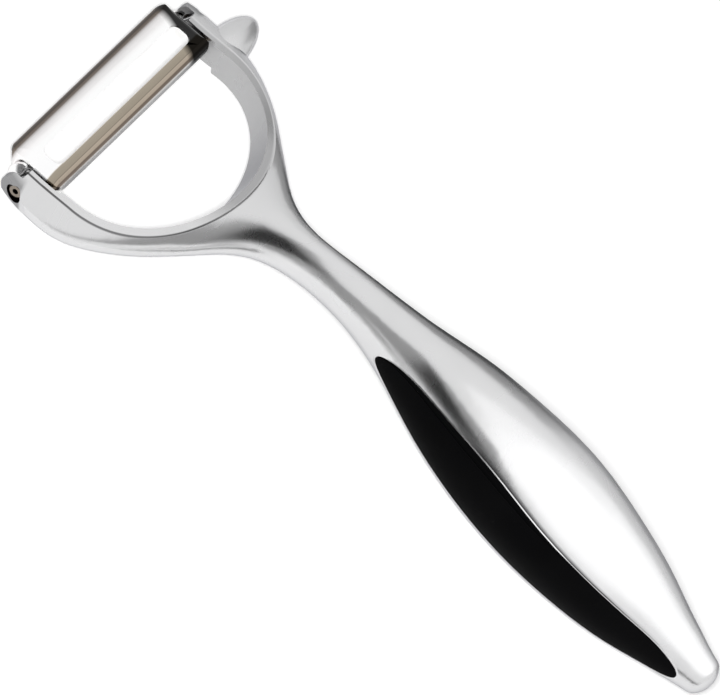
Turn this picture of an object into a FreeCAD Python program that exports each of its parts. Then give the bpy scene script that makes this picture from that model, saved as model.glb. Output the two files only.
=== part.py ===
import FreeCAD, Part
import math
import os

# Y-shaped vegetable peeler: a cast metal body, two grip inlays and a slotted blade that swivels on
# two hollow pivot pins. Lengths are millimetres, angles are degrees.
# Frame while modelling: the blade's pivot axis is the X axis, the head looks along +Y, +Z is up.

# Cast body: where its main stations lie behind the pivot axis, and how thick it is there
tail_behind_pivot = 164.6
tail_dome_depth = 3.6
belly_behind_pivot = 117.0
neck_behind_pivot = 54.0
crotch_behind_pivot = 30.4
belly_diameter = 27.3
neck_diameter = 10.0
tail_diameter = 9.1
neck_rise = 11.7
belly_rise = 10.1
tail_rise = 7.3

# Yoke: the two arms round the opening
arm_width = 7.15
arm_height = 10.0
arm_camber = 2.6
web_height = 8.8
opening_width = 53.7
opening_curve_depth = 20.2
opening_draft = 3.0
blade_bay_step = 1.0
blade_bay_behind_pivot = 8.7
blade_bay_lean = 29.5
rim_strip_width = 1.9
rim_strip_drop = 0.5
lug_radius = 3.7
lug_facet_setback = 1.2
lug_facet_turn = 16.0
lug_facet_undercut = 10.0

# Gouger for potato eyes, cast on the outer side of the right arm
gouger_reach = 7.9
gouger_width = 9.0
gouger_height = 5.6
gouger_behind_pivot = 8.4
gouger_rise = 0.9
gouger_wall = 1.0

# Grip inlays, one in each flank of the handle
inlay_length = 86.0
inlay_height = 12.4
inlay_thickness = 1.6
inlay_end_margin = 6.1
inlay_tilt = 3.6
pocket_rim_width = 0.55
pocket_rim_depth = 0.18

# Pivot pins: shouldered rivets with a hollow end, which turn in the lugs
pin_diameter = 2.4
pin_bore = 1.3
pin_running_clearance = 0.05
pin_collar_diameter = 3.2
pin_collar_thickness = 0.4
pin_flare_diameter = 2.7
pin_flare_thickness = 0.4
counterbore_diameter = 3.9
counterbore_depth = 1.2

# Blade: one bent strip of sheet with a long slot
blade_sheet = 0.6
blade_side_gap = 0.7
blade_width = 13.4
blade_rise = 4.7
blade_arch_drop = 2.2
blade_bend_radius = 2.6
blade_corner_radius = 2.2
slot_width = 4.7
slot_set_back = 0.7
slot_corner_radius = 1.7
slot_end_bridge = 1.3
bevel_width = 1.6
ear_radius = 3.3
ear_neck_width = 15.0
ear_neck_drop = 1.6
blade_tilt = 7.0

# Swivel stop: a tab of each ear in a V-shaped notch of the lug
swivel_limit = 16.0
notch_ahead_of_pivot = 1.6
notch_wall = 0.95
tab_clearance = 0.1
tab_radius = 4.2
tab_rise = 3.5
tab_drop = 2.8
tab_offset = 0.65

overrun = 20.0
section_points = 24
arch_points = 12

# Shares of the way from the neck to the pivot axis, then of how far the body has widened from the
# neck to the yoke, of the neck's rise that is left, of the arms' squarer section and of their camber
head_shares = [
    (0.13, 0.016, 0.863, 0.0, 0.0),
    (0.23, 0.088, 0.760, 0.1, 0.1),
    (0.305, 0.204, 0.682, 0.2, 0.2),
    (0.375, 0.356, 0.590, 0.35, 0.35),
    (0.45, 0.520, 0.495, 0.5, 0.55),
    (0.52, 0.662, 0.432, 0.7, 0.8),
    (0.63, 0.838, 0.325, 0.85, 1.0),
    (0.74, 0.956, 0.205, 0.95, 1.0),
    (0.85, 1.0, 0.095, 1.0, 0.65),
    (0.96, 1.0, 0.015, 1.0, 0.25),
    (1.09, 0.935, 0.0, 1.0, 0.0),
]

# Shares of the way from the neck to the belly, of the growth in diameter and of the change in rise
handle_shares = [
    (0.0, 0.0, 0.0),
    (0.175, 0.09, -0.78),
    (0.365, 0.335, -0.56),
    (0.55, 0.67, -0.06),
    (0.76, 0.913, 0.56),
    (1.0, 1.0, 1.0),
]

# Shares of the way from the belly to the tail, of the loss in diameter and of the change in rise
tail_shares = [
    (0.336, 0.165, 0.43),
    (0.602, 0.434, 0.71),
    (0.782, 0.703, 0.86),
    (0.909, 0.879, 0.95),
    (1.0, 1.0, 1.0),
]
dome_angles = [28.0, 52.0, 70.0, 81.0]
round_power = 2.0
arm_power = 2.6
arch_power = 4
camber_power = 4
camber_middle_share = 0.5
inlay_rise_share = 0.97
web_widening_share = 0.5
gouger_hollow_share = 0.42
joggle_height_share = 0.7
bevel_depth_share = 0.75

half_opening = opening_width / 2
half_bay = half_opening + blade_bay_step
half_yoke = half_opening + arm_width
ear_outside = half_bay - blade_side_gap
ear_inside = ear_outside - blade_sheet
slot_half_length = ear_outside - blade_bend_radius + blade_sheet - slot_end_bridge
counterbore_floor = half_yoke - lug_facet_setback - counterbore_depth
notch_floor = counterbore_floor - notch_wall
inlay_behind_pivot = tail_behind_pivot - inlay_end_margin - inlay_length / 2
lug_hole = pin_diameter + 2 * pin_running_clearance


def vector(x, y, z):
    return FreeCAD.Vector(x, y, z)


def between(start, end, share):
    return start + (end - start) * share


def prism(points, direction):
    """A solid from a closed run of straight lines, pushed along a direction."""
    outline = Part.makePolygon(points + points[:1])
    return Part.Face(outline).extrude(direction)


def rod(radius, start_x, end_x):
    """A cylinder about the pivot axis between two places along it."""
    low = min(start_x, end_x)
    return Part.makeCylinder(radius, abs(end_x - start_x), vector(low, 0, 0), vector(1, 0, 0))


def ring(behind, half_width, half_height, rise, power, camber):
    """One closed cross-section of the body, between an ellipse and a rounded rectangle.

    Camber lifts its middle and lets its two sides hang."""
    points = []
    for step in range(section_points):
        angle = 2 * math.pi * step / section_points - math.pi / 2
        across = math.copysign(abs(math.cos(angle)) ** (2 / power), math.cos(angle))
        up = math.copysign(abs(math.sin(angle)) ** (2 / power), math.sin(angle))
        lift = camber * (camber_middle_share - across ** camber_power)
        points.append(vector(half_width * across, -behind, rise + half_height * up + lift))
    curve = Part.BSplineCurve()
    places = [float(step) for step in range(section_points + 1)]
    curve.interpolate(Points=points, PeriodicFlag=True, Parameters=places)
    return Part.Wire([curve.toShape()])


def handle_stations():
    """Place, radius and rise of the handle's round sections, from the neck to the tail."""
    stations = []
    for along, growth, change in handle_shares:
        behind = between(neck_behind_pivot, belly_behind_pivot, along)
        radius = between(neck_diameter, belly_diameter, growth) / 2
        stations.append((behind, radius, between(neck_rise, belly_rise, change)))
    dome_start = tail_behind_pivot - tail_dome_depth
    for along, loss, change in tail_shares:
        behind = between(belly_behind_pivot, dome_start, along)
        radius = between(belly_diameter, tail_diameter, loss) / 2
        stations.append((behind, radius, between(belly_rise, tail_rise, change)))
    return stations


def dome_stations():
    """Place and radius of the sections that close the rounded tail."""
    stations = []
    for angle in dome_angles:
        turn = math.radians(angle)
        behind = tail_behind_pivot - tail_dome_depth * (1 - math.sin(turn))
        stations.append((behind, tail_diameter / 2 * math.cos(turn)))
    return stations


def body_blank():
    """The casting as one smooth form, before its opening is cut: a paddle that becomes the handle."""
    rings = []
    for along, widening, rise_left, squareness, hang in reversed(head_shares):
        behind = neck_behind_pivot * (1 - along)
        half_width = between(neck_diameter / 2, half_yoke, widening)
        thickness = between(neck_diameter, web_height, min(1, widening / web_widening_share))
        thickness = between(thickness, arm_height, squareness ** 2)
        power = between(round_power, arm_power, squareness)
        camber = arm_camber * hang
        rings.append(ring(behind, half_width, thickness / 2, neck_rise * rise_left, power, camber))
    for behind, radius, rise in handle_stations():
        rings.append(ring(behind, radius, radius, rise, round_power, 0))
    for behind, radius in dome_stations():
        rings.append(ring(behind, radius, radius, tail_rise, round_power, 0))
    return Part.makeLoft(rings, True, False)


def handle_core():
    """What is left of the handle under the inlays."""
    rings = []
    for behind, radius, rise in handle_stations():
        rings.append(ring(behind, radius - inlay_thickness, radius - inlay_thickness, rise, round_power, 0))
    return Part.makeLoft(rings, True, False)


def opening_outline(height):
    """The U between the arms at one height; its walls lean outwards towards the top."""
    lean = height * math.tan(math.radians(opening_draft))
    half_width = half_opening + lean
    curve_start = opening_curve_depth - crotch_behind_pivot
    unit_circle = Part.Circle()
    unit_circle.Radius = 1
    stretch = FreeCAD.Matrix()
    stretch.scale(half_width, opening_curve_depth + lean, 1)
    bend = unit_circle.toShape(math.pi, 2 * math.pi).transformGeometry(stretch)
    bend.translate(vector(0, curve_start, height))
    far = lug_radius + overrun
    sides = Part.makePolygon([
        vector(half_width, curve_start, height),
        vector(half_width, far, height),
        vector(-half_width, far, height),
        vector(-half_width, curve_start, height),
    ])
    return Part.Wire(Part.__sortEdges__(bend.Edges + sides.Edges))


def opening_tool():
    """The space between the arms, straight beside the blade and round at the crotch."""
    return Part.makeLoft([opening_outline(-overrun), opening_outline(overrun)], True, True)


def rim_edges(body):
    """The upper edges of the opening, round the crotch and along both arms."""
    edges = []
    for edge in body.Edges:
        middle = edge.valueAt((edge.FirstParameter + edge.LastParameter) / 2)
        beside = edge.BoundBox.YMin > -crotch_behind_pivot - rim_strip_width
        long_enough = edge.BoundBox.YLength > lug_radius
        inside = abs(middle.x) < half_opening + rim_strip_width
        if beside and long_enough and inside and middle.z > lug_radius / 2:
            edges.append(edge)
    return edges


def lug_end_tool():
    """What is cut off the arms ahead of the pivot, so that their ends are round about its axis."""
    block = Part.makeBox(2 * (half_yoke + overrun), overrun, 2 * overrun,
                         vector(-half_yoke - overrun, 0, -overrun))
    return block.cut(rod(lug_radius, -half_yoke - overrun, half_yoke + overrun))


def lug_facet_tool(side):
    """What is milled off the outside of one lug, so that the pivot hole opens in a flat facet."""
    block = Part.makeBox(overrun, 2 * overrun, 2 * overrun, vector(0, -overrun, -overrun))
    block.rotate(vector(0, 0, 0), vector(0, 1, 0), lug_facet_undercut)
    block.rotate(vector(0, 0, 0), vector(0, 0, 1), lug_facet_turn)
    block.translate(vector(half_yoke - lug_facet_setback, 0, 0))
    return block if side > 0 else block.mirror(vector(0, 0, 0), vector(1, 0, 0))


def blade_bay_tool():
    """The room that the blade swings in, wider than the opening, with a back wall that leans forwards."""
    lean = overrun * math.tan(math.radians(blade_bay_lean))
    far = lug_radius + overrun
    return prism([
        vector(-half_bay, -blade_bay_behind_pivot - lean, -overrun),
        vector(-half_bay, -blade_bay_behind_pivot + lean, overrun),
        vector(-half_bay, far, overrun),
        vector(-half_bay, far, -overrun),
    ], vector(2 * half_bay, 0, 0))


def notch_tool(side):
    """The notch in the inner front corner of one lug; its two back walls stop the blade's tab."""
    lean = overrun * math.tan(math.radians(swivel_limit))
    inner = half_bay - rim_strip_width
    back = notch_ahead_of_pivot
    block = prism([
        vector(inner, back, 0),
        vector(inner, back - lean, overrun),
        vector(inner, back + overrun, overrun),
        vector(inner, back + overrun, -overrun),
        vector(inner, back - lean, -overrun),
    ], vector(notch_floor - inner, 0, 0))
    return block if side > 0 else block.mirror(vector(0, 0, 0), vector(1, 0, 0))


def gouger():
    """A small spoon for potato eyes, rooted in the right arm, with its hollow below."""
    root = gouger_reach / 2
    centre = vector(half_yoke - root, -gouger_behind_pivot, gouger_rise)
    unit_ball = Part.makeSphere(1)
    outside = FreeCAD.Matrix()
    outside.scale(gouger_reach + root, gouger_width / 2, gouger_height / 2)
    inside = FreeCAD.Matrix()
    inside.scale(gouger_reach + root - gouger_wall, gouger_width / 2 - gouger_wall, gouger_height / 2)
    spoon = unit_ball.transformGeometry(outside)
    hollow = unit_ball.transformGeometry(inside)
    hollow.translate(vector(0, 0, gouger_height * gouger_hollow_share))
    lid = Part.makeBox(4 * gouger_reach, gouger_width, gouger_height)
    lid.translate(vector(-2 * gouger_reach, -gouger_width / 2, gouger_height * gouger_hollow_share / 2))
    spoon = spoon.cut(hollow).cut(lid)
    keep = Part.makeBox(2 * gouger_reach, gouger_width, 2 * gouger_height)
    keep.translate(vector(0, -gouger_width / 2, -gouger_height))
    spoon = spoon.common(keep).mirror(vector(0, 0, 0), vector(0, 0, 1))
    spoon.translate(centre)
    return spoon


def inlay(side, blank, core):
    """One rubber grip: the flank of the handle inside an ellipse, down to the pocket's floor."""
    centre = vector(0, -inlay_behind_pivot, between(neck_rise, belly_rise, inlay_rise_share))
    ellipse = Part.Ellipse(vector(0, 0, 0), inlay_length / 2, inlay_height / 2)
    outline = Part.Wire([ellipse.toShape()])
    outline.rotate(vector(0, 0, 0), vector(1, 0, 0), 90)
    outline.rotate(vector(0, 0, 0), vector(0, 0, 1), 90)
    outline.rotate(vector(0, 0, 0), vector(1, 0, 0), inlay_tilt)
    outline.translate(centre)
    column = Part.Face(outline).extrude(vector(side * belly_diameter, 0, 0))
    return column.common(blank).cut(core)


def pocket_edges(body):
    """The outer edges of the two pockets, each a closed curve in a flank of the handle."""
    edges = []
    for side in (-1, 1):
        rounds = [edge for edge in body.Edges if edge.isClosed() and edge.Length > 2 * inlay_length]
        edges.append(max(rounds, key=lambda edge: side * edge.BoundBox.Center.x))
    return edges


def cast_body(blank, inlays):
    body = blank.cut(opening_tool())
    body = body.makeChamfer(rim_strip_width, rim_strip_drop, rim_edges(body))
    body = body.cut(blade_bay_tool()).cut(lug_end_tool())
    for side in (-1, 1):
        body = body.cut(lug_facet_tool(side)).cut(notch_tool(side))
        outside = side * (half_yoke + overrun)
        body = body.cut(rod(lug_hole / 2, side * ear_inside, outside))
        body = body.cut(rod(counterbore_diameter / 2, side * counterbore_floor, outside))
    body = body.fuse(gouger())
    for piece in inlays:
        body = body.cut(piece)
    return body.makeChamfer(pocket_rim_width, pocket_rim_depth, pocket_edges(body))


def front_outline(inset):
    """The blade seen from the front, filled: ears at both ends, bends and the flat crown."""
    half = ear_outside - inset
    top = blade_rise - inset
    radius = blade_bend_radius - inset
    bend = radius * (1 - math.sqrt(0.5))
    left_bend = Part.Arc(vector(-half, 0, top - radius), vector(-half + bend, 0, top - bend),
                         vector(-half + radius, 0, top))
    right_bend = Part.Arc(vector(half - radius, 0, top), vector(half - bend, 0, top - bend),
                          vector(half, 0, top - radius))
    rest = [
        Part.makeLine(vector(-half + radius, 0, top), vector(half - radius, 0, top)),
        Part.makeLine(vector(half, 0, top - radius), vector(half, 0, -overrun)),
        Part.makeLine(vector(half, 0, -overrun), vector(-half, 0, -overrun)),
        Part.makeLine(vector(-half, 0, -overrun), vector(-half, 0, top - radius)),
    ]
    wire = Part.Wire(Part.__sortEdges__([left_bend.toShape(), right_bend.toShape()] + rest))
    solid = Part.Face(wire).extrude(vector(0, 2 * overrun, 0))
    solid.translate(vector(0, -overrun, 0))
    return solid


def arch_height(across):
    """Height of the blade's upper face at a place across its width, and its slope there."""
    half = blade_width / 2
    share = across / half
    slope = -arch_power * blade_arch_drop * share ** (arch_power - 1) / half
    return blade_rise - blade_arch_drop * share ** arch_power, slope


def side_outline(inset):
    """The blade seen from its end, filled: an arch whose sides roll down into lips."""
    points = []
    for step in range(-arch_points, arch_points + 1):
        across = blade_width / 2 * step / arch_points
        height, slope = arch_height(across)
        steepness = math.sqrt(1 + slope ** 2)
        points.append(vector(0, across + inset * slope / steepness, height - inset / steepness))
    arch = Part.BSplineCurve()
    arch.interpolate(points)
    first, last = points[0], points[-1]
    rest = Part.makePolygon([last, vector(0, last.y, -overrun), vector(0, first.y, -overrun), first])
    wire = Part.Wire(Part.__sortEdges__([arch.toShape()] + rest.Edges))
    solid = Part.Face(wire).extrude(vector(2 * (ear_outside + overrun), 0, 0))
    solid.translate(vector(-ear_outside - overrun, 0, 0))
    return solid


def rounded_block(half_length, half_width, radius):
    """A tall block about the Z axis with rounded upright edges."""
    block = Part.makeBox(2 * half_length, 2 * half_width, 2 * overrun,
                         vector(-half_length, -half_width, -overrun))
    upright = [edge for edge in block.Edges if edge.BoundBox.ZLength > overrun]
    return block.makeFillet(radius, upright)


def ear_outline():
    """The ears seen from the side: round about the pivot, widening up to the crown."""
    reach = ear_outside + overrun
    disc = rod(ear_radius, -reach, reach)
    neck = prism([
        vector(-reach, -ear_radius, -ear_neck_drop),
        vector(-reach, ear_radius, -ear_neck_drop),
        vector(-reach, ear_neck_width / 2, blade_rise),
        vector(-reach, -ear_neck_width / 2, blade_rise),
    ], vector(2 * reach, 0, 0))
    return disc.fuse(neck)


def bevel_tool(side):
    """The ground slope beside the slot, which leaves its edge sharp and runs out at a slant."""
    edge = side * slot_width / 2 - slot_set_back
    start = edge + side * bevel_width
    inner = edge - side * bevel_width
    start_height = arch_height(start)[0]
    edge_height = arch_height(edge)[0] - blade_sheet * bevel_depth_share
    inner_height = edge_height - (start_height - edge_height)
    top = blade_rise + bevel_width
    start_reach = slot_half_length
    inner_reach = slot_half_length - 2 * bevel_width
    wedge = prism([
        vector(-start_reach, start, start_height),
        vector(-start_reach, inner, inner_height),
        vector(-start_reach, inner, top),
        vector(-start_reach, start, top),
    ], vector(2 * start_reach, 0, 0))
    return wedge.common(prism([
        vector(-start_reach, start, -top),
        vector(start_reach, start, -top),
        vector(inner_reach, inner, -top),
        vector(-inner_reach, inner, -top),
    ], vector(0, 0, 3 * top)))


def stop_tab(side):
    """The outward jog at the front of an ear and its tab, which meets the notch at the end of the swivel."""
    back = notch_ahead_of_pivot + tab_clearance
    inside = ear_outside + tab_offset
    outside = inside + blade_sheet
    plate = Part.makeBox(blade_sheet, tab_radius, tab_rise + tab_drop, vector(inside, back, -tab_drop))
    plate = plate.common(rod(tab_radius, inside, outside))
    half_jog = tab_drop * joggle_height_share
    jog = Part.makeBox(outside - ear_inside, blade_sheet, 2 * half_jog, vector(ear_inside, back, -half_jog))
    tab = plate.fuse(jog)
    return tab if side > 0 else tab.mirror(vector(0, 0, 0), vector(1, 0, 0))


def blade():
    outer = front_outline(0).common(side_outline(0))
    outer = outer.common(rounded_block(ear_outside, blade_width / 2, blade_corner_radius))
    inner = front_outline(blade_sheet).common(side_outline(blade_sheet))
    inner = inner.common(rounded_block(ear_inside, blade_width / 2 - blade_sheet,
                                       blade_corner_radius - blade_sheet))
    sheet = outer.cut(inner)
    lip_bottom = arch_height(blade_width / 2)[0] - blade_sheet / 2
    below = Part.makeBox(4 * ear_outside, 2 * overrun, 2 * overrun,
                         vector(-2 * ear_outside, -overrun, lip_bottom - 2 * overrun))
    sheet = sheet.cut(below.cut(ear_outline()))
    slot = rounded_block(slot_half_length, slot_width / 2, slot_corner_radius)
    slot.translate(vector(0, -slot_set_back, 0))
    sheet = sheet.cut(slot)
    for side in (-1, 1):
        sheet = sheet.cut(bevel_tool(side))
        sheet = sheet.fuse(stop_tab(side))
        sheet = sheet.cut(rod(pin_diameter / 2, side * (ear_inside - blade_sheet),
                              side * (ear_outside + blade_side_gap)))
    return sheet


def pivot_pin(side):
    """A rivet staked flush in the ear, with a collar outside it and a hollow end in the counterbore."""
    collar_end = ear_outside + pin_collar_thickness
    flare_start = counterbore_floor + pin_running_clearance
    flare_end = flare_start + pin_flare_thickness
    pin = rod(pin_diameter / 2, side * ear_inside, side * flare_end)
    pin = pin.fuse(rod(pin_collar_diameter / 2, side * ear_outside, side * collar_end))
    pin = pin.fuse(rod(pin_flare_diameter / 2, side * flare_start, side * flare_end))
    return pin.cut(rod(pin_bore / 2, side * collar_end, side * (flare_end + overrun)))


blank = body_blank()
core = handle_core()
left_inlay = inlay(-1, blank, core)
right_inlay = inlay(1, blank, core)
pieces = {
    "cast_body": cast_body(blank, [left_inlay, right_inlay]),
    "left_grip_inlay": left_inlay,
    "right_grip_inlay": right_inlay,
    "blade": blade(),
    "left_pivot_pin": pivot_pin(-1),
    "right_pivot_pin": pivot_pin(1),
}
for name in ("blade", "left_pivot_pin", "right_pivot_pin"):
    pieces[name].rotate(vector(0, 0, 0), vector(1, 0, 0), -blade_tilt)

# The origin is the middle of the peeler's underside as it lies on a table.
whole = Part.makeCompound(list(pieces.values())).optimalBoundingBox(False, False)
shift = vector(-whole.Center.x, -whole.Center.y, -whole.ZMin)
os.makedirs("parts", exist_ok=True)
for name, piece in pieces.items():
    solid = piece.Solids[0]
    solid.translate(shift)
    solid.exportStep("parts/" + name + ".step")
    print(name, len(piece.Solids), solid.isValid(), round(solid.Volume, 1),
          solid.optimalBoundingBox(False, False))
print("pivot axis at", shift)
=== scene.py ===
import bpy
import math
from mathutils import Matrix, Vector


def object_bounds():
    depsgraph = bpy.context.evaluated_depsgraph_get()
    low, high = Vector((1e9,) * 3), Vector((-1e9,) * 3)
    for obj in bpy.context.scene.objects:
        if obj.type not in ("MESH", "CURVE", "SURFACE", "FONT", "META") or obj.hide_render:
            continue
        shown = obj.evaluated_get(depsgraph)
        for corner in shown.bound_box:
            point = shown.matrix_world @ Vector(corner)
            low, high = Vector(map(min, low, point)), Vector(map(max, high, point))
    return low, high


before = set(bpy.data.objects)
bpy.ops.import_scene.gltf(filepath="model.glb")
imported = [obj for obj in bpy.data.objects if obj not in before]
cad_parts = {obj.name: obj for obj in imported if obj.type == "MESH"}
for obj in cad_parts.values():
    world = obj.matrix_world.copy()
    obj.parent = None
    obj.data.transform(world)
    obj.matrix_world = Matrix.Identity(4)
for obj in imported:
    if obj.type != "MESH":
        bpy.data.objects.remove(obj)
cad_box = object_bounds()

# Casting: yoke, neck, handle and gouger are one zinc die casting, blasted with fine beads and plated
# with satin chrome, so it shines softly and shows a very fine, even grain. A crease runs along the
# yoke's opening, the lugs are faceted, and a thin lip stands along each grip's pocket.
fine_grain = bpy.data.node_groups.new("fine_grain", "ShaderNodeTree")
fine_grain.interface.new_socket("Grains per metre", in_out="INPUT", socket_type="NodeSocketVector")
fine_grain.interface.new_socket("Clouds per metre", in_out="INPUT", socket_type="NodeSocketFloat")
fine_grain.interface.new_socket("Height", in_out="OUTPUT", socket_type="NodeSocketFloat")
fine_grain.interface.new_socket("Cloud", in_out="OUTPUT", socket_type="NodeSocketFloat")
grain_in = fine_grain.nodes.new("NodeGroupInput")
grain_out = fine_grain.nodes.new("NodeGroupOutput")
grain_place = fine_grain.nodes.new("ShaderNodeTexCoord")
grain_stretch = fine_grain.nodes.new("ShaderNodeVectorMath")
grain_stretch.operation = "MULTIPLY"
fine_grain.links.new(grain_place.outputs["Object"], grain_stretch.inputs[0])
fine_grain.links.new(grain_in.outputs["Grains per metre"], grain_stretch.inputs[1])
grain_noise = fine_grain.nodes.new("ShaderNodeTexNoise")
grain_noise.inputs["Scale"].default_value = 1.0
grain_noise.inputs["Detail"].default_value = 3.0
grain_noise.inputs["Roughness"].default_value = 0.6
fine_grain.links.new(grain_stretch.outputs["Vector"], grain_noise.inputs["Vector"])
fine_grain.links.new(grain_noise.outputs["Fac"], grain_out.inputs["Height"])
cloud_noise = fine_grain.nodes.new("ShaderNodeTexNoise")
cloud_noise.inputs["Detail"].default_value = 4.0
cloud_noise.inputs["Distortion"].default_value = 0.4
fine_grain.links.new(grain_place.outputs["Object"], cloud_noise.inputs["Vector"])
fine_grain.links.new(grain_in.outputs["Clouds per metre"], cloud_noise.inputs["Scale"])
fine_grain.links.new(cloud_noise.outputs["Fac"], grain_out.inputs["Cloud"])


def plug(links, socket, value):
    """Feed a socket from another node's output, or set it to a plain value."""
    if isinstance(value, bpy.types.NodeSocket):
        links.new(value, socket)
    else:
        socket.default_value = value


def ranged(nodes, links, value, source, target=(0.0, 1.0), smooth=False):
    """A value carried over from the source's range to the target's."""
    node = nodes.new("ShaderNodeMapRange")
    node.interpolation_type = "SMOOTHSTEP" if smooth else "LINEAR"
    for limit, number in zip(("From Min", "From Max", "To Min", "To Max"), (*source, *target)):
        node.inputs[limit].default_value = number
    links.new(value, node.inputs["Value"])
    return node.outputs["Result"]


def mixed_colour(nodes, links, factor, first, second, blend="MIX"):
    """Two colours mixed by a factor; each of the three is a socket or a plain value."""
    node = nodes.new("ShaderNodeMix")
    node.data_type = "RGBA"
    node.blend_type = blend
    plug(links, node.inputs["Factor"], factor)
    plug(links, node.inputs["A"], first)
    plug(links, node.inputs["B"], second)
    return node.outputs["Result"]


def feed(socket):
    """The output that a socket is fed from."""
    return socket.links[0].from_socket


def grained_material(name, grains, clouds, colours, roughness, bump, metallic):
    """A material whose colour and roughness drift with the clouds and whose surface has the grain."""
    material = bpy.data.materials.new(name)
    material.use_nodes = True
    nodes, links = material.node_tree.nodes, material.node_tree.links
    shader = nodes["Principled BSDF"]
    shader.inputs["Metallic"].default_value = metallic
    grain = nodes.new("ShaderNodeGroup")
    grain.node_tree = fine_grain
    grain.inputs["Grains per metre"].default_value = grains
    grain.inputs["Clouds per metre"].default_value = clouds
    cloud_span = (0.35, 0.65)
    tint = nodes.new("ShaderNodeValToRGB")
    for stop, place, colour in zip(tint.color_ramp.elements, cloud_span, colours):
        stop.position = place
        stop.color = (*colour, 1.0)
    links.new(grain.outputs["Cloud"], tint.inputs["Fac"])
    links.new(tint.outputs["Color"], shader.inputs["Base Color"])
    gloss = ranged(nodes, links, grain.outputs["Cloud"], cloud_span, roughness)
    links.new(gloss, shader.inputs["Roughness"])
    relief = nodes.new("ShaderNodeBump")
    relief.inputs["Strength"].default_value, relief.inputs["Distance"].default_value = bump
    links.new(grain.outputs["Height"], relief.inputs["Height"])
    links.new(relief.outputs["Normal"], shader.inputs["Normal"])
    return material


satin_chrome = grained_material(
    "satin_chrome", grains=(5200.0, 5200.0, 5200.0), clouds=60.0,
    colours=((0.685, 0.685, 0.69), (0.71, 0.71, 0.715)), roughness=(0.24, 0.29),
    bump=(0.10, 0.00002), metallic=1.0)
chrome_nodes, chrome_links = satin_chrome.node_tree.nodes, satin_chrome.node_tree.links
chrome = chrome_nodes["Principled BSDF"]
chrome.inputs["Specular Tint"].default_value = (0.5, 0.5, 0.52, 1.0)

# The casting's marks: distances to the opening and to the grips, and masks made of them
rim_distance = bpy.data.node_groups.new("rim_distance", "ShaderNodeTree")
for rim_output in ("Distance", "Grip", "Lap", "Hole shade", "Painted shade"):
    rim_distance.interface.new_socket(rim_output, in_out="OUTPUT", socket_type="NodeSocketFloat")
rim_nodes, rim_links = rim_distance.nodes, rim_distance.links
rim_out = rim_nodes.new("NodeGroupOutput")


def rim_math(operation, *values):
    """One step of the sums below, whose inputs are sockets or numbers."""
    node = rim_nodes.new("ShaderNodeMath")
    node.operation = operation
    for socket, value in zip(node.inputs, values):
        plug(rim_links, socket, value)
    return node.outputs["Value"]


def rim_chain(operation, first, *others):
    """The first value joined with each of the others by one operation."""
    for other in others:
        first = rim_math(operation, first, other)
    return first


def rim_fade(value, span):
    """0 at the start of the span, 1 at its end and beyond it."""
    share = rim_math("DIVIDE", rim_math("SUBTRACT", value, span[0]), span[1] - span[0])
    return rim_math("MINIMUM", rim_math("MAXIMUM", share, 0.0), 1.0)


def rim_square(value):
    """A value times itself."""
    return rim_math("POWER", rim_math("ABSOLUTE", value), 2.0)


def rim_ellipse(first, second, first_radius, second_radius):
    """How far a point lies outside an ellipse, from its two distances to the middle."""
    first_share = rim_square(rim_math("DIVIDE", first, first_radius))
    second_share = rim_square(rim_math("DIVIDE", second, second_radius))
    reach = rim_math("SQRT", rim_math("ADD", first_share, second_share))
    steepness = rim_math("SQRT", rim_math(
        "ADD", rim_math("DIVIDE", first_share, first_radius ** 2),
        rim_math("DIVIDE", second_share, second_radius ** 2)))
    return rim_math("DIVIDE", rim_math("SUBTRACT", reach, 1.0), rim_math("DIVIDE", steepness, reach))


pivot = Vector((-0.003926, 0.0788, 0.003635))
rim_place = rim_nodes.new("ShaderNodeTexCoord")
rim_parts = rim_nodes.new("ShaderNodeSeparateXYZ")
rim_links.new(rim_place.outputs["Object"], rim_parts.inputs["Vector"])
across = rim_math("SUBTRACT", rim_parts.outputs["X"], pivot.x)
along = rim_math("SUBTRACT", rim_parts.outputs["Y"], pivot.y)
over = rim_math("SUBTRACT", rim_parts.outputs["Z"], pivot.z)

# The yoke's opening, whose straight sides run into half an ellipse
opening_half_width, opening_curve, curve_start = 0.02707, 0.0204, -0.0102
bend = rim_math("MINIMUM", rim_math("SUBTRACT", along, curve_start), 0.0)
from_opening = rim_ellipse(across, bend, opening_half_width, opening_curve)
rim_links.new(from_opening, rim_out.inputs["Distance"])

# The grips, an ellipse on each flank, over whose upper edge the rubber laps towards the neck
grip_middle_y, grip_middle_z, grip_tilt = -0.1155, 0.01015, math.radians(3.6)
grip_half_length, grip_half_height = 0.043, 0.0062
lap_span_shares, lap_rise_share = (-0.5, 0.3), 0.235
grip_y = rim_math("SUBTRACT", along, grip_middle_y)
grip_z = rim_math("SUBTRACT", over, grip_middle_z)
grip_along = rim_math("ADD", rim_math("MULTIPLY", grip_y, math.cos(grip_tilt)),
                      rim_math("MULTIPLY", grip_z, math.sin(grip_tilt)))
grip_up = rim_math("SUBTRACT", rim_math("MULTIPLY", grip_z, math.cos(grip_tilt)),
                   rim_math("MULTIPLY", grip_y, math.sin(grip_tilt)))
grip_share = rim_math("DIVIDE", grip_along, grip_half_length)
upper_half = rim_math("GREATER_THAN", grip_up, 0.0)
lap_fade = rim_fade(grip_share, lap_span_shares)
lap_ease = rim_math("SUBTRACT", 3.0, rim_math("MULTIPLY", lap_fade, 2.0))
lap = rim_chain("MULTIPLY", lap_fade, lap_fade, lap_ease, lap_rise_share, upper_half)
grip_lapped = rim_math("DIVIDE", grip_up, rim_math("ADD", lap, 1.0))
from_grip = rim_ellipse(grip_along, grip_lapped, grip_half_length, grip_half_height)
rim_links.new(from_grip, rim_out.inputs["Grip"])
rim_links.new(rim_math("LESS_THAN", from_grip, 0.0), rim_out.inputs["Lap"])
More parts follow.
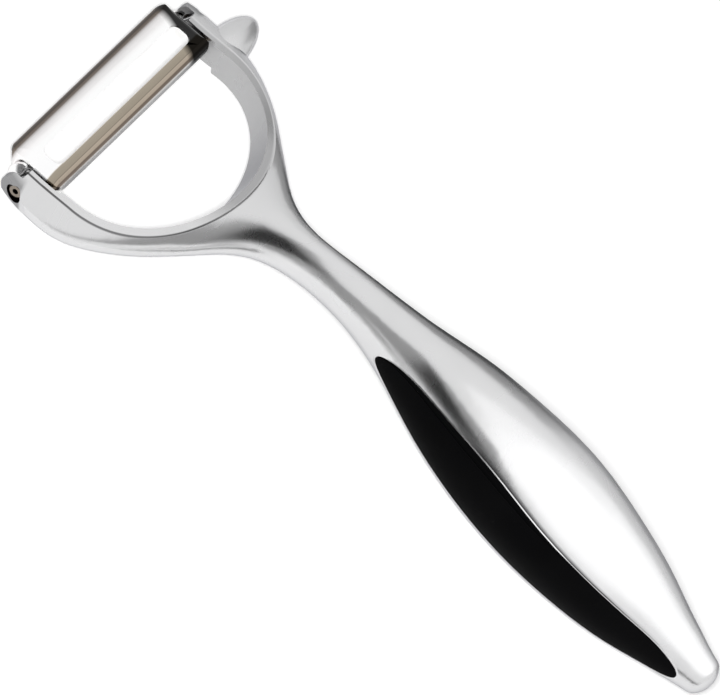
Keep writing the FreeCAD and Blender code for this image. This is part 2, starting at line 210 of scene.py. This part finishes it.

# The counterbores round the pivot pins, whose insides are painted dark brown as shade
hole_radius, lug_start = 0.00197, 0.03
from_axis = rim_math("SQRT", rim_math("ADD", rim_square(along), rim_square(over)))
in_hole = rim_math("LESS_THAN", from_axis, hole_radius)
in_lug = rim_math("GREATER_THAN", rim_math("ABSOLUTE", across), lug_start)
rim_links.new(rim_math("MULTIPLY", in_hole, in_lug), rim_out.inputs["Hole shade"])

# Painted shade: the lugs' facets, the crease line and bevel of the opening, and the lee of the grip's
# lip are painted darker, as shade and dark reflection
facet_lean, facet_back, facet_top, facet_tone = 0.6, (-0.0024, -0.0016), (0.0030, 0.0022), 0.55
facet_place = rim_math("SUBTRACT", along, rim_math("MULTIPLY", over, facet_lean))
facet = rim_chain("MULTIPLY", rim_fade(facet_place, facet_back), rim_fade(over, facet_top), in_lug)
line_middle, line_edge, line_reach, line_tone = 0.0020, (0.00033, 0.0001), (-0.004, -0.013), 0.75
from_line = rim_math("ABSOLUTE", rim_math("SUBTRACT", from_opening, line_middle))
line = rim_math("MULTIPLY", rim_fade(from_line, line_edge), rim_fade(across, line_reach))
bevel_edge, bevel_reach, bevel_tone = (0.0023, 0.0015), (-0.014, -0.003), 0.35
bevel = rim_math("MULTIPLY", rim_fade(from_opening, bevel_edge), rim_fade(across, bevel_reach))
lee_inside, lee_outside, lee_tone = (0.00017, 0.00023), (0.00085, 0.0003), 0.92
lee_tail_shares, lee_front_shares = (-0.9, -0.35), (0.6, 0.35)
lee = rim_chain(
    "MULTIPLY", rim_fade(from_grip, lee_inside), rim_fade(from_grip, lee_outside), upper_half,
    rim_fade(grip_share, lee_tail_shares), rim_fade(grip_share, lee_front_shares))
# All these darker marks are summed into one mask of painted shade
painted_shade = rim_chain("ADD", *(rim_math("MULTIPLY", mark, tone) for mark, tone in (
    (facet, facet_tone), (line, line_tone), (bevel, bevel_tone), (lee, lee_tone))))
rim_links.new(painted_shade, rim_out.inputs["Painted shade"])

# The marks on the metal, as relief, as painted shade, and as rubber where it laps over
rim = chrome_nodes.new("ShaderNodeGroup")
rim.node_tree = rim_distance
crease_span, crease_heights = (0.0017, 0.0023), (0.0, 0.0003)
lip_span, lip_heights = (0.0, 0.0002), (0.00006, 0.0)
upper_relief = feed(chrome.inputs["Normal"]).node
for rim_output, span, heights in (
        ("Distance", crease_span, crease_heights), ("Grip", lip_span, lip_heights)):
    relief = chrome_nodes.new("ShaderNodeBump")
    relief.inputs["Strength"].default_value = 1.0
    relief.inputs["Distance"].default_value = 1.0
    height = ranged(chrome_nodes, chrome_links, rim.outputs[rim_output], span, heights, smooth=True)
    chrome_links.new(height, relief.inputs["Height"])
    chrome_links.new(relief.outputs["Normal"], upper_relief.inputs["Normal"])
    upper_relief = relief
# Painted shade: dark brown inside the pin holes, and near black for the darker marks of the lugs, the
# opening and the grip's lip
hole_shade_colour, painted_shade_colour = (0.045, 0.032, 0.022, 1.0), (0.03, 0.03, 0.032, 1.0)
lap_colour, lap_roughness = (0.002, 0.002, 0.0022, 1.0), 0.68
shade = feed(chrome.inputs["Base Color"])
for rim_output, colour in (("Hole shade", hole_shade_colour), ("Painted shade", painted_shade_colour), ("Lap", lap_colour)):
    shade = mixed_colour(chrome_nodes, chrome_links, rim.outputs[rim_output], shade, colour)
chrome_links.new(shade, chrome.inputs["Base Color"])
lap_metal = ranged(chrome_nodes, chrome_links, rim.outputs["Lap"], (0.0, 1.0), (1.0, 0.0))
chrome_links.new(lap_metal, chrome.inputs["Metallic"])
lap_gloss = chrome_nodes.new("ShaderNodeMix")
lap_gloss.inputs["B"].default_value = lap_roughness
chrome_links.new(rim.outputs["Lap"], lap_gloss.inputs["Factor"])
chrome_links.new(feed(chrome.inputs["Roughness"]), lap_gloss.inputs["A"])
chrome_links.new(lap_gloss.outputs["Result"], chrome.inputs["Roughness"])
rubber_shine = 0.03
chrome.inputs["Specular IOR Level"].default_value = rubber_shine
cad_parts["cast_body"].material_slots[0].material = satin_chrome

# Grip inlays: two lens-shaped pads of black rubber, moulded with a fine matt grain and bonded into
# pockets in the flanks of the handle.
grip_rubber = grained_material(
    "grip_rubber", grains=(3600.0, 3600.0, 3600.0), clouds=45.0,
    colours=((0.0014, 0.0014, 0.0016), (0.0026, 0.0026, 0.0028)), roughness=(0.62, 0.74),
    bump=(0.3, 0.00004), metallic=0.0)
grip_rubber.node_tree.nodes["Principled BSDF"].inputs["Specular IOR Level"].default_value = rubber_shine
for inlay_name in ("left_grip_inlay", "right_grip_inlay"):
    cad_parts[inlay_name].material_slots[0].material = grip_rubber

# Blade: one strip of stainless sheet, stamped, slotted and bent, with its two cutting edges ground.
# Rolling and grinding leave fine lines along its length. Light and dark bands along it are painted
# reflection, the brownish band on the ground near edge partly its ground finish, and its right end is
# painted dark as shade.
blade_steel = grained_material(
    "blade_steel", grains=(60.0, 5200.0, 5200.0), clouds=90.0,
    colours=((0.97, 0.97, 0.97), (1.0, 1.0, 1.0)), roughness=(0.13, 0.20),
    bump=(0.10, 0.00002), metallic=1.0)
steel_nodes, steel_links = blade_steel.node_tree.nodes, blade_steel.node_tree.links
steel = steel_nodes["Principled BSDF"]
blade_tilt, half_blade = math.radians(7.0), 0.0067
steel_place = steel_nodes.new("ShaderNodeTexCoord")
steel_level = steel_nodes.new("ShaderNodeVectorRotate")
steel_level.rotation_type = "X_AXIS"
steel_level.inputs["Center"].default_value = pivot
steel_level.inputs["Angle"].default_value = blade_tilt
steel_links.new(steel_place.outputs["Object"], steel_level.inputs["Vector"])
steel_parts = steel_nodes.new("ShaderNodeSeparateXYZ")
steel_links.new(steel_level.outputs["Vector"], steel_parts.inputs["Vector"])
steel_share = ranged(steel_nodes, steel_links, steel_parts.outputs["Y"],
                     (pivot.y - half_blade, pivot.y + half_blade))
# Bands across the blade, painted as reflection: bright edge lines, a brownish band on the ground near
# edge that is partly its ground finish, and a dark band along the far bend
band_colours = [
    (-0.0067, (0.80, 0.80, 0.80)), (-0.0061, (0.78, 0.77, 0.76)), (-0.0059, (0.20, 0.16, 0.13)),
    (-0.0055, (0.16, 0.125, 0.10)), (-0.00535, (0.42, 0.355, 0.285)), (-0.00475, (0.45, 0.385, 0.31)),
    (-0.00468, (0.16, 0.135, 0.11)), (-0.00458, (0.34, 0.295, 0.235)), (-0.0032, (0.38, 0.335, 0.27)),
    (-0.00306, (0.80, 0.77, 0.72)), (-0.0029, (1.0, 1.0, 1.0)), (0.0026, (1.0, 1.0, 1.0)),
    (0.0042, (0.95, 0.93, 0.93)), (0.0048, (0.78, 0.76, 0.76)), (0.0052, (0.46, 0.43, 0.42)),
    (0.0054, (0.21, 0.18, 0.155)), (0.0058, (0.11, 0.085, 0.068)), (0.0061, (0.03, 0.022, 0.017)),
    (0.0064, (0.05, 0.037, 0.03)), (0.0067, (0.16, 0.13, 0.11)),
]
bands = steel_nodes.new("ShaderNodeValToRGB")
band_stops = bands.color_ramp.elements
while len(band_stops) < len(band_colours):
    band_stops.new(0.5)
for stop, (place, colour) in zip(band_stops, band_colours):
    stop.position = (place + half_blade) / (2 * half_blade)
    stop.color = (*colour, 1.0)
steel_links.new(steel_share, bands.inputs["Fac"])
# The crown's right end is painted dark as shade, fading in over about two millimetres
end_lean, end_start, end_full, end_dark = -0.35, 0.0214, 0.0233, 0.03
end_place = steel_nodes.new("ShaderNodeMath")
end_place.operation = "MULTIPLY_ADD"
end_place.inputs[1].default_value = end_lean
steel_links.new(steel_parts.outputs["Y"], end_place.inputs[0])
steel_links.new(steel_parts.outputs["X"], end_place.inputs[2])
end_middle = pivot.x + end_lean * pivot.y
end_shade = ranged(steel_nodes, steel_links, end_place.outputs["Value"],
                   (end_middle + end_start, end_middle + end_full), (1.0, end_dark))
crown_low, crown_high = 0.0022, 0.0030
crown_mask = ranged(steel_nodes, steel_links, steel_parts.outputs["Z"],
                    (pivot.z + crown_low, pivot.z + crown_high))
band_tone = mixed_colour(steel_nodes, steel_links, 1.0, bands.outputs["Color"],
                         feed(steel.inputs["Base Color"]), "MULTIPLY")
end_tone = mixed_colour(steel_nodes, steel_links, crown_mask, band_tone, end_shade, "MULTIPLY")
steel_links.new(end_tone, steel.inputs["Base Color"])
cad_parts["blade"].material_slots[0].material = blade_steel

# Pivot pins: shouldered rivets of bright steel, staked in the blade's ears, whose hollow flared ends
# turn in the counterbores of the lugs. Their outer rims, deep in the holes, are painted dull brown as
# shade.
pin_steel = grained_material(
    "pin_steel", grains=(5200.0, 5200.0, 5200.0), clouds=400.0,
    colours=((0.90, 0.89, 0.88), (0.96, 0.96, 0.95)), roughness=(0.14, 0.24),
    bump=(0.08, 0.00001), metallic=1.0)
pin_nodes, pin_links = pin_steel.node_tree.nodes, pin_steel.node_tree.links
pin = pin_nodes["Principled BSDF"]
# The outer rims of the pins are painted dull brown as shade
ring_span, ring_shade_colour = (0.0284, 0.0290), (0.26, 0.225, 0.19, 1.0)
pin_place = pin_nodes.new("ShaderNodeTexCoord")
pin_parts = pin_nodes.new("ShaderNodeSeparateXYZ")
pin_links.new(pin_place.outputs["Object"], pin_parts.inputs["Vector"])
pin_reach = pin_nodes.new("ShaderNodeMath")
pin_reach.operation = "SUBTRACT"
pin_reach.inputs[1].default_value = pivot.x
pin_links.new(pin_parts.outputs["X"], pin_reach.inputs[0])
pin_side = pin_nodes.new("ShaderNodeMath")
pin_side.operation = "ABSOLUTE"
pin_links.new(pin_reach.outputs["Value"], pin_side.inputs[0])
ring_mask = ranged(pin_nodes, pin_links, pin_side.outputs["Value"], ring_span)
ring_shade = mixed_colour(pin_nodes, pin_links, ring_mask, feed(pin.inputs["Base Color"]), ring_shade_colour)
pin_links.new(ring_shade, pin.inputs["Base Color"])
for pin_name in ("left_pivot_pin", "right_pivot_pin"):
    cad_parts[pin_name].material_slots[0].material = pin_steel

# Floor: a plain white sheet under the peeler, with a paper's faint mottling. The camera and the metal
# see it lifted to white; the shadow stays.


def seen_rays(nodes, links):
    """1 for what the camera sees, also by way of metal, and 0 for the light that falls on things."""
    rays = nodes.new("ShaderNodeLightPath")
    seen = rays.outputs["Is Camera Ray"]
    for kind in ("Is Glossy Ray", "Is Transmission Ray"):
        either = nodes.new("ShaderNodeMath")
        either.operation = "MAXIMUM"
        links.new(seen, either.inputs[0])
        links.new(rays.outputs[kind], either.inputs[1])
        seen = either.outputs["Value"]
    return seen


floor_half, floor_lift = 4.0, 0.28
floor_mesh = bpy.data.meshes.new("floor")
floor_mesh.from_pydata(
    [(-floor_half, -floor_half, 0), (floor_half, -floor_half, 0), (floor_half, floor_half, 0),
     (-floor_half, floor_half, 0)], [], [(0, 1, 2, 3)])
floor = bpy.data.objects.new("floor", floor_mesh)
bpy.context.scene.collection.objects.link(floor)
white_paper = grained_material(
    "white_paper", grains=(900.0, 900.0, 900.0), clouds=12.0,
    colours=((0.845, 0.845, 0.845), (0.855, 0.855, 0.855)), roughness=(0.9, 0.95),
    bump=(0.02, 0.00002), metallic=0.0)
paper_nodes, paper_links = white_paper.node_tree.nodes, white_paper.node_tree.links
paper = paper_nodes["Principled BSDF"]
paper.inputs["Specular IOR Level"].default_value = 0.0
paper.inputs["Emission Color"].default_value = (1.0, 1.0, 1.0, 1.0)
paper_lift = paper_nodes.new("ShaderNodeMath")
paper_lift.operation = "MULTIPLY"
paper_lift.inputs[1].default_value = floor_lift
paper_links.new(seen_rays(paper_nodes, paper_links), paper_lift.inputs[0])
paper_links.new(paper_lift.outputs["Value"], paper.inputs["Emission Strength"])
floor.data.materials.append(white_paper)

# Studio: a white surround, a key light, and panels that only the metal shows: a softbox above the
# handle, dark flags close above the web, the neck and the grip, grey cards on the far side, and grey
# strips on the table beside the handle.
studio_light, studio_seen = 0.3, 1.0
studio = bpy.data.worlds.new("studio")
bpy.context.scene.world = studio
studio.use_nodes = True
studio_nodes, studio_links = studio.node_tree.nodes, studio.node_tree.links
background = studio_nodes["Background"]
background.inputs["Color"].default_value = (1.0, 1.0, 1.0, 1.0)
studio_level = ranged(studio_nodes, studio_links, seen_rays(studio_nodes, studio_links),
                      (0.0, 1.0), (studio_light, studio_seen))
studio_links.new(studio_level, background.inputs["Strength"])


def toward(azimuth, elevation):
    """A direction, with azimuth 0 along +X and 90 along +Y."""
    turn, climb = math.radians(azimuth), math.radians(elevation)
    return Vector((math.cos(turn) * math.cos(climb), math.sin(turn) * math.cos(climb), math.sin(climb)))


def facing(place, target):
    """A placement whose -Z axis looks at the target."""
    return Matrix.Translation(place) @ (target - place).to_track_quat("-Z", "Y").to_matrix().to_4x4()


key_azimuth, key_elevation, key_distance = 180, 50, 2.0
middle = (Vector(cad_box[0]) + Vector(cad_box[1])) / 2
key_light = bpy.data.lights.new("key", "AREA")
key_light.shape = "DISK"
key_light.size = 0.3
key_light.energy = 34.4
key = bpy.data.objects.new("key", key_light)
key.matrix_world = facing(middle + toward(key_azimuth, key_elevation) * key_distance, middle)
key.visible_glossy = False
bpy.context.scene.collection.objects.link(key)


def panel(name, corners, brightness):
    """A flat panel of the given brightness that only shows in reflections."""
    mesh = bpy.data.meshes.new(name)
    mesh.from_pydata(corners, [], [tuple(range(len(corners)))])
    paint = bpy.data.materials.new(name + "_face")
    paint.use_nodes = True
    face = paint.node_tree.nodes["Principled BSDF"]
    face.inputs["Base Color"].default_value = (0.0, 0.0, 0.0, 1.0)
    face.inputs["Specular IOR Level"].default_value = 0.0
    face.inputs["Emission Color"].default_value = (1.0, 1.0, 1.0, 1.0)
    face.inputs["Emission Strength"].default_value = brightness
    mesh.materials.append(paint)
    sheet = bpy.data.objects.new(name, mesh)
    sheet.visible_camera = False
    sheet.visible_diffuse = False
    sheet.visible_shadow = False
    bpy.context.scene.collection.objects.link(sheet)


softbox_height, flag_height, low_flag_height = 0.08, 0.032, 0.024
strip_height, card_distance, layer = 0.0005, 0.2, 0.0002
panel("softbox", [(x, y, softbox_height) for x, y in (
    (-0.034, -0.012), (-0.07, 0.0), (-0.122, -0.074), (-0.116, -0.097), (-0.053, -0.128),
    (-0.023, -0.194), (0.066, -0.202), (0.076, -0.08), (0.037, -0.072), (0.017, -0.028),
)], brightness=1.5)
panel("softbox_rim", [(x, y, softbox_height + layer) for x, y in (
    (-0.028, -0.009), (-0.056, -0.023), (-0.099, -0.044), (-0.19, -0.145), (-0.093, -0.121),
    (-0.035, -0.19), (0.13, -0.252), (0.14, -0.096), (0.064, -0.052), (-0.002, 0.004),
)], brightness=1.3)
panel("web_flag", [(x, y, flag_height) for x, y in (
    (0.0, 0.0465), (-0.009, 0.036), (-0.016, 0.03), (-0.0285, 0.03), (-0.015, 0.042),
)], brightness=0.16)
panel("low_flag", [(x, y, low_flag_height) for x, y in (
    (-0.0183, 0.0352), (-0.0155, 0.0308), (-0.0106, 0.031), (-0.007, 0.036), (-0.006, 0.041),
    (-0.0103, 0.0425), (-0.0155, 0.0395),
)], brightness=0.0)
panel("neck_flag", [(x, y, flag_height) for x, y in (
    (-0.0285, 0.03), (-0.08, 0.03), (-0.044, 0.0152),
)], brightness=0.2)
panel("grip_flag", [(x, y, flag_height) for x, y in (
    (-0.011, 0.002), (-0.036, -0.037), (-0.031, 0.0105),
)], brightness=0.0)
panel("flag_rim", [(x, y, flag_height + layer) for x, y in (
    (-0.002, 0.051), (-0.004, 0.034), (-0.0105, 0.032), (-0.0155, 0.026), (-0.0145, 0.016),
    (-0.01, 0.004), (-0.018, -0.022), (-0.11, -0.086), (-0.032, 0.013), (-0.033, 0.022),
    (-0.2, 0.05), (-0.2, 0.08), (-0.06, 0.043), (-0.038, 0.047),
)], brightness=0.38)
panel("neck_card", [(card_distance - layer, y, z) for y, z in (
    (-0.03, 0.0), (0.09, 0.0), (0.06, 0.1), (-0.02, 0.12),
)], brightness=0.36)
panel("far_card", [(card_distance, y, z) for y, z in (
    (-0.34, 0.0), (0.43, 0.0), (0.29, 0.21), (-0.27, 0.066),
)], brightness=0.84)
panel("neck_strip", [(x, y, strip_height) for x, y in (
    (0.018, -0.009), (0.21, -0.051), (0.23, 0.052), (0.008, 0.036),
)], brightness=0.08)
panel("far_strip", [(x, y, strip_height - layer) for x, y in (
    (0.018, -0.108), (0.22, -0.244), (0.16, -0.034), (0.026, 0.008),
)], brightness=0.5)
panel("near_strip", [(x, y, strip_height) for x, y in (
    (-0.2, -0.191), (-0.062, -0.222), (-0.029, 0.01), (-0.096, -0.018),
)], brightness=0.05)

# Camera: from the peeler's left side, about fifty degrees above the table and rolled, from far away,
# so that the peeler lies at a slant and shows hardly any perspective.
view_azimuth, view_elevation, view_roll = map(math.radians, (-89.958, 49.8698, 45.4121))
view_distance = 5.0
pixels_per_metre = 5096.8
image_width, image_height = 720, 695
object_x, object_y = 421.9, 356.46
forward = Vector((-math.sin(view_azimuth) * math.cos(view_elevation),
                  math.cos(view_azimuth) * math.cos(view_elevation), -math.sin(view_elevation)))
level = Vector((math.cos(view_azimuth), math.sin(view_azimuth), 0.0))
upright = level.cross(forward)
right = math.cos(view_roll) * level + math.sin(view_roll) * upright
above = math.cos(view_roll) * upright - math.sin(view_roll) * level
aim = middle + right * (image_width / 2 - object_x) / pixels_per_metre
aim += above * (object_y - image_height / 2) / pixels_per_metre
camera_data = bpy.data.cameras.new("camera")
camera_data.sensor_fit = "HORIZONTAL"
camera_data.sensor_width = 36.0
camera_data.lens = camera_data.sensor_width * view_distance * pixels_per_metre / image_width
camera_data.clip_end = 4 * view_distance
camera = bpy.data.objects.new("camera", camera_data)
turn = Matrix((right, above, -forward)).transposed().to_4x4()
camera.matrix_world = Matrix.Translation(aim - forward * view_distance) @ turn
bpy.context.scene.collection.objects.link(camera)
bpy.context.scene.camera = camera
bpy.context.scene.view_settings.view_transform = "Standard"
